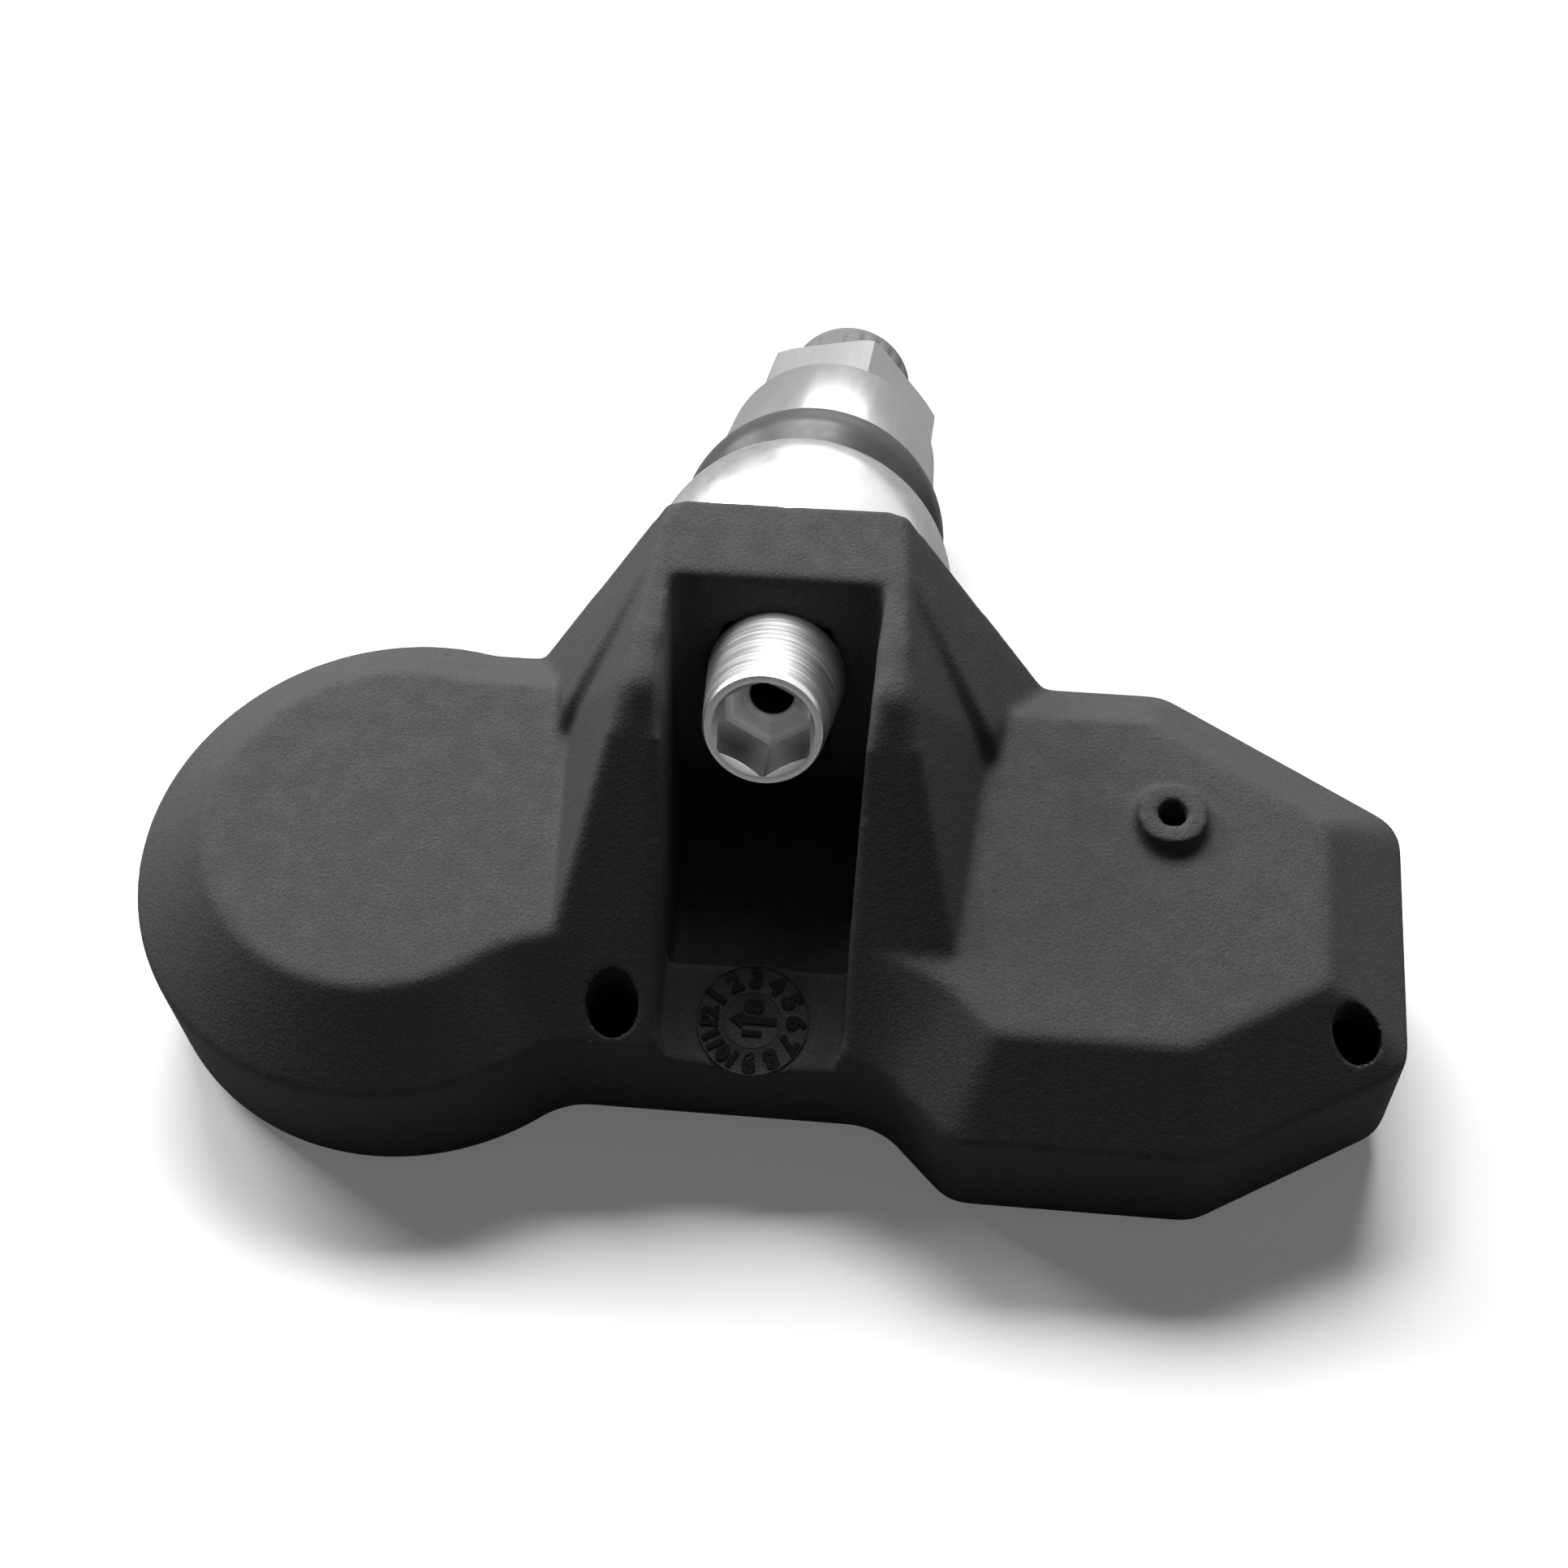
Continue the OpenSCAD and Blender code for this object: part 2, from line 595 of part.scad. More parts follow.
housing();
base_cover();
cell_can();
cell_cap();
cell_gasket();
tab_plus();
tab_minus();
circuit_board();
pressure_chip();
port_seal();
rf_chip();
crystal();
lf_core();
lf_winding();
antenna();
capacitors();
valve_stem();
hollow_screw();
grommet();
collar_nut();
core_body();
core_gasket();
core_pin();
core_washer();
valve_cap();
cap_seal();
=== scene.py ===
import bpy, bmesh, json, math
import numpy as np
from mathutils import Euler, Matrix, Vector


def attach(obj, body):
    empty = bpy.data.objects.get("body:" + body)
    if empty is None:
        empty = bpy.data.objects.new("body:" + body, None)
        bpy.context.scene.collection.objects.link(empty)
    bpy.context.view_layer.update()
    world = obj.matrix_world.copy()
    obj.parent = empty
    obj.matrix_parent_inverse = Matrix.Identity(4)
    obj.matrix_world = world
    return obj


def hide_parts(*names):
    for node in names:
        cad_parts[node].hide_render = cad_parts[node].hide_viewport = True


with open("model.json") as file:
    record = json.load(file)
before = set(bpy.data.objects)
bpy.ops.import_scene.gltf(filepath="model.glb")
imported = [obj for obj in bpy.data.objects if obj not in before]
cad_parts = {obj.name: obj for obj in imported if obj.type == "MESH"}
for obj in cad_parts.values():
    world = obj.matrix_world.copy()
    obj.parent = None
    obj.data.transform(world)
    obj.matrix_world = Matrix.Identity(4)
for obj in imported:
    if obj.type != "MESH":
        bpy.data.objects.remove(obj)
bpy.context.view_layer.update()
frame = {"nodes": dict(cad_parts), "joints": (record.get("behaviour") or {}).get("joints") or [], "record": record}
nodes = frame["nodes"]
joints = {j["name"]: j for j in frame["joints"]}
MM = 0.001

# ---- camera: a fit of the photograph; millimetres from the frame's origin, and degrees ----
CAM_POS = (12.62, -107.04, 118.00)
CAM_TURN = (41.749, 1.121, 6.015)
CAM_LENS = 55.934

camera = bpy.data.objects.new("camera", bpy.data.cameras.new("camera"))
bpy.context.scene.collection.objects.link(camera)
camera.location = Vector(CAM_POS) * MM
camera.rotation_euler = Euler([math.radians(a) for a in CAM_TURN])
camera.data.lens = CAM_LENS
camera.data.sensor_width = 36
camera.data.clip_start = 0.005
camera.data.clip_end = 20
bpy.context.scene.camera = camera
bpy.context.scene.view_settings.view_transform = "Standard"
bpy.context.scene.view_settings.look = "None"

# ---- the valve's own frame: Z outwards along the stem from the ball centre ----
ball = Vector(joints["valve_swing"]["pos_m"])
stem_axis = Vector(joints["core_press"]["axis"]).normalized()
side = Vector((1, 0, 0))
valve_turn = Matrix((side, stem_axis.cross(side), stem_axis)).transposed().to_4x4()
valve_frame = Matrix.Translation(ball) @ valve_turn


# ---- materials ----
class Shade:
    """A principled material with a few helpers for procedural detail."""

    def __init__(self, name, colour, rough, metal=0.0, spec=0.5):
        self.mat = bpy.data.materials.new(name)
        self.mat.use_nodes = True
        self.tree = self.mat.node_tree
        self.bsdf = self.tree.nodes["Principled BSDF"]
        self.bsdf.inputs["Base Color"].default_value = (*colour, 1)
        self.bsdf.inputs["Roughness"].default_value = rough
        self.bsdf.inputs["Metallic"].default_value = metal
        self.bsdf.inputs["Specular IOR Level"].default_value = spec
        self.colour = colour
        self.where = self.node("ShaderNodeAttribute", attribute_name="local").outputs["Vector"]
        self.bumps = None

    def node(self, kind, **values):
        n = self.tree.nodes.new(kind)
        for k, v in values.items():
            setattr(n, k, v)
        return n

    def link(self, a, b):
        self.tree.links.new(a, b)

    def noise(self, size_mm, detail=2.0, stretch=None):
        where = self.where
        if stretch:
            scale = self.node("ShaderNodeMapping")
            scale.inputs["Scale"].default_value = stretch
            self.link(where, scale.inputs["Vector"])
            where = scale.outputs["Vector"]
        n = self.node("ShaderNodeTexNoise")
        n.inputs["Scale"].default_value = 1000.0 / size_mm
        n.inputs["Detail"].default_value = detail
        self.link(where, n.inputs["Vector"])
        return n.outputs["Fac"]

    def rings(self, pitch_mm, axis="Z"):
        """Turned grooves: a sine of the distance along an axis."""
        split = self.node("ShaderNodeSeparateXYZ")
        self.link(self.where, split.inputs[0])
        times = self.node("ShaderNodeMath", operation="MULTIPLY")
        times.inputs[1].default_value = 2000 * math.pi / pitch_mm
        self.link(split.outputs[axis], times.inputs[0])
        wave = self.node("ShaderNodeMath", operation="SINE")
        self.link(times.outputs[0], wave.inputs[0])
        return wave.outputs[0]

    def spread(self, value, low, high):
        """Maps 0.3..0.7 of a noise to low..high."""
        m = self.node("ShaderNodeMapRange")
        m.inputs["From Min"].default_value = 0.3
        m.inputs["From Max"].default_value = 0.7
        m.inputs["To Min"].default_value = low
        m.inputs["To Max"].default_value = high
        self.link(value, m.inputs["Value"])
        return m.outputs["Result"]

    def tint(self, value, low, high):
        """Base colour times low..high."""
        mix = self.node("ShaderNodeVectorMath", operation="SCALE")
        mix.inputs[0].default_value = self.colour
        self.link(self.spread(value, low, high), mix.inputs["Scale"])
        self.link(mix.outputs[0], self.bsdf.inputs["Base Color"])
        return self

    def polish(self, value, low, high):
        """Roughness between low and high."""
        self.link(self.spread(value, low, high), self.bsdf.inputs["Roughness"])
        return self

    def bump(self, value, depth_mm, strength=1.0):
        b = self.node("ShaderNodeBump")
        b.inputs["Distance"].default_value = depth_mm * MM
        b.inputs["Strength"].default_value = strength
        self.link(value, b.inputs["Height"])
        if self.bumps:
            self.link(self.bumps, b.inputs["Normal"])
        self.bumps = b.outputs["Normal"]
        self.link(self.bumps, self.bsdf.inputs["Normal"])
        return self


def moulded(name, colour, rough=0.62):
    """Spark-eroded plastic: a fine grain, a slower unevenness and pale specks."""
    m = Shade(name, colour, rough, spec=0.14)
    m.bump(m.noise(0.17, 4), 0.045).bump(m.noise(0.6, 2), 0.014)
    return m.tint(m.noise(0.13, 3), 0.78, 1.3).polish(m.noise(1.5), rough - 0.06, rough + 0.08)


def turned(name, colour, rough, pitch=0.16):
    """Fine turning marks round the axis, a little uneven."""
    m = Shade(name, colour, rough, metal=1.0)
    m.tint(m.rings(pitch), 0.90, 1.04)
    return m.polish(m.noise(0.5, 2, (0.12, 0.12, 1)), rough * 0.9, rough * 1.1)


def brushed(name, colour, rough):
    """Long soft scratches along the axis. Smooth metals have no bump: it speckles their look."""
    m = Shade(name, colour, rough, metal=1.0)
    m.tint(m.noise(0.25, 2, (1, 1, 0.03)), 0.97, 1.03)
    return m.polish(m.noise(0.4, 2, (1, 1, 0.05)), rough * 0.95, rough * 1.06)


def soft_rubber(name, colour):
    m = Shade(name, colour, 0.36, spec=0.38)
    m.bump(m.noise(0.25, 2), 0.004)
    return m.tint(m.noise(0.8), 0.9, 1.1).polish(m.noise(1.2), 0.32, 0.42)


body_plastic = moulded("body_plastic", (0.066, 0.066, 0.067))
# the dial plate: the body's plastic painted darker, painted shade of the pocket it lies in
dial_shade_plastic = moulded("dial_shade_plastic", (0.052, 0.052, 0.053), 0.5)
# the dial's numbers and arrow: the same plastic painted near black, painted shade
mark_shade_plastic = moulded("mark_shade_plastic", (0.004, 0.004, 0.004), 0.6)
# the walls of the moulding holes: near black, painted shade deep in the holes
hole_shade_plastic = moulded("hole_shade_plastic", (0.012, 0.012, 0.012), 0.8)
cover_plastic = moulded("cover_plastic", (0.05, 0.05, 0.052), 0.55)
cap_plastic = Shade("cap_plastic", (0.19, 0.19, 0.195), 0.5, spec=0.12)
cap_plastic.bump(cap_plastic.noise(0.3, 2), 0.01).polish(cap_plastic.noise(0.9), 0.4, 0.52)
screw_metal = turned("screw_metal", (0.88, 0.88, 0.885), 0.38, 0.33)
stem_metal = Shade("stem_metal", (0.86, 0.86, 0.87), 0.3, metal=1.0)
stem_metal.tint(stem_metal.noise(3.5), 0.96, 1.03).polish(stem_metal.noise(1.2), 0.26, 0.32)
nut_metal = brushed("nut_metal", (0.86, 0.86, 0.865), 0.24)
rubber = soft_rubber("rubber", (0.060, 0.060, 0.062))
# the screw's air passage: a dark metal, painted shade deep in the narrow bore
bore_shade_metal = Shade("bore_shade_metal", (0.10, 0.10, 0.10), 0.5, metal=1.0)
bore_shade_metal.polish(bore_shade_metal.noise(0.5), 0.45, 0.6)
brass = turned("brass", (0.75, 0.58, 0.28), 0.25, 0.2)
cell_steel = brushed("cell_steel", (0.72, 0.72, 0.74), 0.3)
tin_strip = brushed("tin_strip", (0.74, 0.73, 0.70), 0.35)
board = Shade("board", (0.03, 0.16, 0.08), 0.3)
board.bump(board.noise(0.5, 3), 0.01).tint(board.noise(2.0), 0.85, 1.15)
chip = moulded("chip", (0.02, 0.02, 0.021), 0.45)
ceramic = Shade("ceramic", (0.45, 0.32, 0.18), 0.4)
ceramic.tint(ceramic.noise(0.4, 3), 0.85, 1.15).bump(ceramic.noise(0.3), 0.004)
ferrite = moulded("ferrite", (0.045, 0.042, 0.04), 0.5)
copper = Shade("copper_wire", (0.70, 0.30, 0.13), 0.3, metal=1.0)
copper.bump(copper.rings(0.12, "X"), 0.03).polish(copper.noise(0.5), 0.25, 0.4)
ptfe = Shade("ptfe", (0.75, 0.74, 0.68), 0.45)
ptfe.bump(ptfe.noise(0.3), 0.004).tint(ptfe.noise(0.6), 0.95, 1.05)
MATERIALS = {
    "body_plastic": body_plastic, "cover_plastic": cover_plastic, "cap_plastic": cap_plastic,
    "screw_metal": screw_metal, "stem_metal": stem_metal, "nut_metal": nut_metal,
    "rubber": rubber, "brass": brass, "cell_steel": cell_steel, "tin_strip": tin_strip,
    "board": board, "chip": chip, "ceramic": ceramic, "ferrite": ferrite,
    "copper_wire": copper, "ptfe": ptfe,
    "cell_seal": soft_rubber("cell_seal", (0.08, 0.08, 0.09)),
    "crystal_can": brushed("crystal_can", (0.7, 0.7, 0.72), 0.28),
}
slot_of = {s["node"]: s["material_slot"] for s in frame["record"]["subparts"]}
# CAD nodes whose patterns run round the valve's axis
VALVE_NODES = ("core_body", "core_gasket", "core_pin", "core_washer", "cap_seal")


# ---- mesh helpers ----
def points_of(mesh):
    """A mesh's vertices as an n x 3 array."""
    co = np.empty(len(mesh.vertices) * 3)
    mesh.vertices.foreach_get("co", co)
    return co.reshape(-1, 3)


def set_points(mesh, co):
    mesh.vertices.foreach_set("co", co.ravel())
    mesh.update()


def moved(co, matrix):
    """An n x 3 array of points through a 4 x 4 matrix."""
    m = np.array(matrix)
    return co @ m[:3, :3].T + m[:3, 3]


def keep_local(mesh, to_local):
    """Stores each vertex's place in its own piece's frame; the materials' patterns read it."""
    local = moved(points_of(mesh), to_local)
    data = mesh.attributes.new("local", "FLOAT_VECTOR", "POINT").data
    data.foreach_set("vector", local.astype(np.float32).ravel())


def add(name, mesh, slot, body, matrix=Matrix.Identity(4), shade=None):
    """A piece from a mesh drawn in the frame that matrix gives, with its body and a material: shade, or else the
    slot's.
    """
    keep_local(mesh, Matrix.Identity(4))
    mesh.transform(matrix)
    obj = bpy.data.objects.new(name, mesh)
    bpy.context.scene.collection.objects.link(obj)
    mesh.materials.clear()
    mesh.materials.append((shade or MATERIALS[slot]).mat)
    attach(obj, body)
    return obj


def soften(mesh, angle=32):
    """Smooth shading with the edges sharper than angle kept."""
    mesh.shade_smooth()
    mesh.set_sharp_from_angle(angle=math.radians(angle))
    return mesh


def baked(obj, *mods):
    """The mesh of obj after modifiers, each a (type, settings) pair."""
    for kind, settings in mods:
        m = obj.modifiers.new(kind.lower(), kind)
        for k, v in settings.items():
            setattr(m, k, v)
    graph = bpy.context.evaluated_depsgraph_get()
    mesh = bpy.data.meshes.new_from_object(obj.evaluated_get(graph))
    obj.modifiers.clear()
    return mesh


def scratch(mesh):
    """A passing object that carries a mesh through a modifier; the caller removes it."""
    obj = bpy.data.objects.new("scratch", mesh)
    bpy.context.scene.collection.objects.link(obj)
    return obj


def lathe(name, profile, steps=160, wave=None):
    """Revolves a closed outline of (radius, z) points in mm round Z; wave(angle, r, z) moves one."""
    rows = []
    for i in range(steps):
        a = 2 * math.pi * i / steps
        row = []
        for r, z in profile:
            rr, zz = wave(a, r, z) if wave else (r, z)
            row.append((rr * math.cos(a) * MM, rr * math.sin(a) * MM, zz * MM))
        rows.append(row)
    n = len(profile)
    verts = [v for row in rows for v in row]
    faces = []
    for i in range(steps):
        a, b = i * n, (i + 1) % steps * n
        for k in range(n):
            j = (k + 1) % n
            faces.append((a + k, b + k, b + j, a + j))
    mesh = bpy.data.meshes.new(name)
    mesh.from_pydata(verts, [], faces)
    bm = bmesh.new()
    bm.from_mesh(mesh)
    bmesh.ops.recalc_face_normals(bm, faces=bm.faces)
    bm.to_mesh(mesh)
    bm.free()
    return mesh


def rounded(points, radius, steps=5):
    """A closed outline in mm with its corners rounded; radius is one value or one for each point."""
    out = []
    n = len(points)
    for i, p in enumerate(points):
        r = radius[i] if isinstance(radius, (list, tuple)) else radius
        p = Vector(p)
        a = Vector(points[i - 1]) - p
        b = Vector(points[(i + 1) % n]) - p
        if r <= 0 or a.length < 1e-6 or b.length < 1e-6 or a.angle(b) > math.radians(176):
            out.append(tuple(p))
            continue
        cut = min(r / math.tan(a.angle(b) / 2), 0.45 * a.length, 0.45 * b.length)
        pa, pb = p + a.normalized() * cut, p + b.normalized() * cut
        for k in range(steps + 1):
            t = k / steps
            out.append(tuple(pa * (1 - t) ** 2 + p * 2 * t * (1 - t) + pb * t ** 2))
    return out


def dense(points, step):
    """Points along an open polyline, no further apart than step."""
    out = [points[0]]
    for a, b in zip(points, points[1:]):
        n = max(1, math.ceil(math.dist(a, b) / step))
        out += [(a[0] + (b[0] - a[0]) * k / n, a[1] + (b[1] - a[1]) * k / n)
                for k in range(1, n + 1)]
    return out


def curve(points, per=6):
    """A smooth open curve through the points."""
    ext = [points[0]] + list(points) + [points[-1]]
    out = []
    for i in range(1, len(ext) - 2):
        p0, p1, p2, p3 = (Vector(q) for q in ext[i - 1:i + 3])
        for k in range(per):
            t = k / per
            out.append(tuple(0.5 * (2 * p1 + (p2 - p0) * t + (2 * p0 - 5 * p1 + 4 * p2 - p3) * t ** 2
                                    + (3 * p1 - p0 - 3 * p2 + p3) * t ** 3)))
    out.append(tuple(points[-1]))
    return out


def darken_bore(obj, above):
    """The air passage gets a dark, rougher metal: painted shade deep in the narrow bore; its faces lie near the
    axis.
    """
    mesh = obj.data
    mesh.materials.append(bore_shade_metal.mat)
    inv = valve_frame.inverted()
    for face in mesh.polygons:
        c = inv @ face.center
        if math.hypot(c.x, c.y) < (AIR_R + 0.02) * MM and c.z > above * MM:
            face.material_index = 1


def hex_radius(angle, flats, turn):
    """Distance from the axis to a hexagon's side at an angle; turn is a corner's direction."""
    a = (math.degrees(angle) - turn) % 60 - 30
    return flats / 2 / math.cos(math.radians(a))


# ---- the CAD pieces: their patterns' frames and their materials ----
for name, obj in nodes.items():
    own = valve_frame.inverted() if name in VALVE_NODES else Matrix.Identity(4)
    keep_local(obj.data, own @ obj.matrix_world)
    obj.data.materials.clear()
    obj.data.materials.append(MATERIALS[slot_of[name]].mat)

# ---- housing: the CAD solid with soft moulded edges ----
# the housing's own frame has its flat underside at z 0 and the driver channel along Y; BALL is
# the ball's centre there in mm, and STEM_DOWN the valve's slope in degrees
BALL = (0, 18.7, 11.5)
STEM_DOWN = 30
LAY = math.radians(STEM_DOWN) - math.asin(-stem_axis.z)
body_frame = (Matrix.Translation(ball) @ Matrix.Rotation(LAY, 4, "X")
              @ Matrix.Translation(-Vector(BALL) * MM))
DIAL = (0, -7.9, 7.95)
DIAL_TILT = 13
DIAL_R = 3.15
# how far beyond the dial the skin is laid flat, and how far it lies under the dial's plate
DIAL_REACH, DIAL_SUNK = 0.35, 0.02
dial_frame = (body_frame @ Matrix.Translation(Vector(DIAL) * MM)
              @ Matrix.Rotation(math.radians(DIAL_TILT), 4, "X"))
# centre and radius in mm of the moulding holes with their lips, and the height of their floors
HOLES = ((-7.5, -8.7, 1.48), (32.5, -7.4, 1.43))
HOLE_FLOOR = 5.2
# centre and reach in mm of the places whose edges stay crisp, and how much of the smoothing they
# get; the smoothing comes back from CRISP_CORE of the reach outwards, over CRISP_FADE of it
CRISP_CORE, CRISP_FADE = 0.75, 0.4
CRISP = (((22.3, 3.7, 13.5), 3.0, 0.2), ((-7.5, -8.7, 9.8), 2.8, 0.05),
         ((32.5, -7.4, 9.5), 2.8, 0.05), ((0, -7.9, 8.2), 4.4, 0.4), ((0, 5.5, 14.0), 7.0, 0.35),
         ((-3.2, 16.8, 22.3), 3.6, 0.12), ((3.2, 16.8, 22.3), 3.6, 0.12))
# centre and reach in mm of the knees and corners where the bracket's top rolls over, and the
# rounds; the melting fades over the outer MELT_FADE of the reach
MELT_FADE = 0.35
MELTED = (((-6.8, 4.7, 22.1), 3.2, 80), ((6.8, 4.7, 22.1), 3.2, 80),
          ((-7.2, 16.6, 22.0), 1.5, 16), ((7.2, 16.6, 22.0), 1.5, 16))


def edge_ends(mesh):
    """The two vertices of each edge, as an n x 2 array."""
    ends = np.empty(len(mesh.edges) * 2, np.int64)
    mesh.edges.foreach_get("vertices", ends)
    return ends.reshape(-1, 2)


def smoothed(co, ends, rounds, gain):
    """Rounds of moving each point towards the mean of its neighbours, by half its gain."""
    n = len(co)
    a, b = ends[:, 0], ends[:, 1]
    count = np.maximum(np.bincount(ends.ravel(), minlength=n), 1)[:, None]
    pull = 0.5 * gain[:, None]
    for _ in range(rounds):
        mean = np.stack([np.bincount(a, co[b, k], n) + np.bincount(b, co[a, k], n)
                         for k in range(3)], 1) / count
        co = co + pull * (mean - co)
    return co


def melt(mesh):
    """Rolls over the knees: many rounds of smoothing on the few vertices near them."""
    co = points_of(mesh)
    ends = edge_ends(mesh)
    for centre, reach, rounds in MELTED:
        middle = moved(np.array(centre), body_frame @ Matrix.Scale(MM, 4))
        d = np.linalg.norm(co - middle, axis=1) / (reach * MM)
        gain = np.clip((1 - d) / MELT_FADE, 0, 1)
        used, near = np.unique(ends[(d[ends] < 1.1).all(1)], return_inverse=True)
        co[used] = smoothed(co[used], near.reshape(-1, 2), rounds, gain[used])
    set_points(mesh, co)


def crispness(where):
    """1 away from the crisp places, less near them."""
    pts = moved(where, (body_frame @ Matrix.Scale(MM, 4)).inverted())
    gain = np.ones(len(pts))
    for centre, reach, low in CRISP:
        d = np.linalg.norm(pts - np.array(centre), axis=1) / reach
        gain = np.minimum(gain, low + (1 - low) * np.clip((d - CRISP_CORE) / CRISP_FADE, 0, 1))
    return gain


def all_alike(where):
    return np.ones(len(where))


def flat_dial(mesh):
    """Lays the skin's dial flat: its rings, arrow and digits are pieces of their own."""
    co = points_of(mesh)
    q = moved(co, dial_frame.inverted())
    on = ((np.hypot(q[:, 0], q[:, 1]) < (DIAL_R + DIAL_REACH) * MM)
          & (np.abs(q[:, 2]) < DIAL_REACH * MM))
    q[on, 2] = -DIAL_SUNK * MM
    co[on] = moved(q, dial_frame)[on]
    set_points(mesh, co)


def darken_holes(obj):
    """The walls of the two blind moulding holes get a near-black plastic: painted shade deep in the holes."""
    mesh = obj.data
    mesh.materials.append(hole_shade_plastic.mat)
    inv = Matrix.Scale(1 / MM, 4) @ body_frame.inverted()
    for face in mesh.polygons:
        c = inv @ face.center
        if c.z > HOLE_FLOOR - 0.5 and any(math.hypot(c.x - x, c.y - y) < r for x, y, r in HOLES):
            face.material_index = 1


def skin_of(node, voxel, rounds, target, gain):
    """A CAD node remeshed in voxels of so many mm, its edges rounded in so many rounds, each place
    by its gain, and brought down to about target triangles."""
    obj = scratch(nodes[node].data.copy())
    obj.data.transform(nodes[node].matrix_world)
    mesh = baked(obj, ("REMESH", dict(mode="VOXEL", voxel_size=voxel * MM)))
    bpy.data.objects.remove(obj)
    co = points_of(mesh)
    set_points(mesh, smoothed(co, edge_ends(mesh), rounds, gain(co)))
    if node == "housing":
        flat_dial(mesh)
        melt(mesh)
    obj = scratch(mesh)
    faces = 2 * len(mesh.polygons)
    if faces > target:
        mesh = baked(obj, ("DECIMATE", dict(ratio=target / faces)))
    bpy.data.objects.remove(obj)
    mesh.shade_smooth()
    for old in [a for a in mesh.attributes if a.name == "local"]:
        mesh.attributes.remove(old)
    return mesh


housing_mesh = skin_of("housing", voxel=0.17, rounds=20, target=195000, gain=crispness)
housing = add("housing_skin", housing_mesh, "body_plastic", "housing_body")
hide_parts("housing")
darken_holes(housing)
cover_mesh = skin_of("base_cover", voxel=0.30, rounds=4, target=60000, gain=all_alike)
cover = add("cover_skin", cover_mesh, "cover_plastic", "housing_body")
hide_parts("base_cover")


# ---- date dial in the pocket ----
FONT_DIGIT = 0.70  # a digit's height as a share of the font's size


def words(text, height, depth, stroke):
    """A flat-sided mesh of digits, centred, fattened by stroke; all in metres."""
    data = bpy.data.curves.new("digits", "FONT")
    data.body = text
    data.align_x = "CENTER"
    data.align_y = "CENTER"
    data.size = height / FONT_DIGIT
    data.extrude = depth
    data.offset = stroke
    data.resolution_u = 3
    obj = bpy.data.objects.new("digits", data)
    bpy.context.scene.collection.objects.link(obj)
    graph = bpy.context.evaluated_depsgraph_get()
    mesh = bpy.data.meshes.new_from_object(obj.evaluated_get(graph))
    bpy.data.objects.remove(obj)
    return mesh


def joined(name, parts):
    """One mesh from (mesh, matrix) pairs."""
    bm = bmesh.new()
    for mesh, matrix in parts:
        copy = mesh.copy()
        copy.transform(matrix)
        bm.from_mesh(copy)
        bpy.data.meshes.remove(copy)
    mesh = bpy.data.meshes.new(name)
    bm.to_mesh(mesh)
    bm.free()
    return mesh


def prism(name, outline, low, high):
    """An outline in mm raised from low to high."""
    bm = bmesh.new()
    bottom = [bm.verts.new((x * MM, y * MM, low * MM)) for x, y in outline]
    top = [bm.verts.new((x * MM, y * MM, high * MM)) for x, y in outline]
    bm.faces.new(bottom[::-1])
    bm.faces.new(top)
    for i in range(len(outline)):
        j = (i + 1) % len(outline)
        bm.faces.new((bottom[i], bottom[j], top[j], top[i]))
    mesh = bpy.data.meshes.new(name)
    bm.to_mesh(mesh)
    bm.free()
    return mesh


# the plate, with a raised ring round its edge and another half way in
inner_r = DIAL_R * 0.5
plate_profile = [(0.01, -0.25), (DIAL_R - 0.05, -0.25), (DIAL_R, 0.05), (DIAL_R - 0.06, 0.10),
                 (DIAL_R - 0.14, 0.02), (inner_r + 0.02, 0.02), (inner_r, 0.06),
                 (inner_r - 0.05, 0.02), (0.01, 0.02)]
plate = lathe("date_dial", rounded(plate_profile, 0.02, 2), 128)
# the plate takes the darker copy of the body's plastic: painted shade
add("date_dial", soften(plate), "body_plastic", "housing_body", dial_frame, dial_shade_plastic)
# the ring of numbers; all in mm
DIGIT_RING, DIGIT_Z, DIGIT_DEPTH, DIGIT_STROKE = 2.36, 0.07, 0.05, 0.085
DIGIT_H, PAIR_H, MIDDLE_H = 1.0, 0.86, 0.95


def numeral(text, height, x, y, turn):
    """A raised number on the dial with its place and its direction."""
    place = Matrix.Translation((x * MM, y * MM, DIGIT_Z * MM)) @ Matrix.Rotation(turn, 4, "Z")
    return words(text, height * MM, DIGIT_DEPTH * MM, DIGIT_STROKE * MM), place


marks = []
for hour in range(1, 13):
    a = math.radians(180 - 30 * hour)
    marks.append(numeral(str(hour), DIGIT_H if hour < 10 else PAIR_H, DIGIT_RING * math.cos(a),
                         DIGIT_RING * math.sin(a), a - math.pi / 2))
marks.append(numeral("8", MIDDLE_H, 0.05, 0.80, math.pi / 2))
marks.append(numeral("1", MIDDLE_H, 0.05, -0.74, math.pi / 2))
arrow = [(1.35, 0.2), (-0.55, 0.2), (-0.55, 0.46), (-1.3, 0), (-0.55, -0.46), (-0.55, -0.2),
         (1.35, -0.2)]
marks.append((prism("arrow", arrow, 0.0, 0.12), Matrix.Identity(4)))
# the numbers and arrow take the near-black plastic: painted shade
add("dial_marks", joined("dial_marks", marks), "body_plastic", "housing_body", dial_frame,
    mark_shade_plastic)

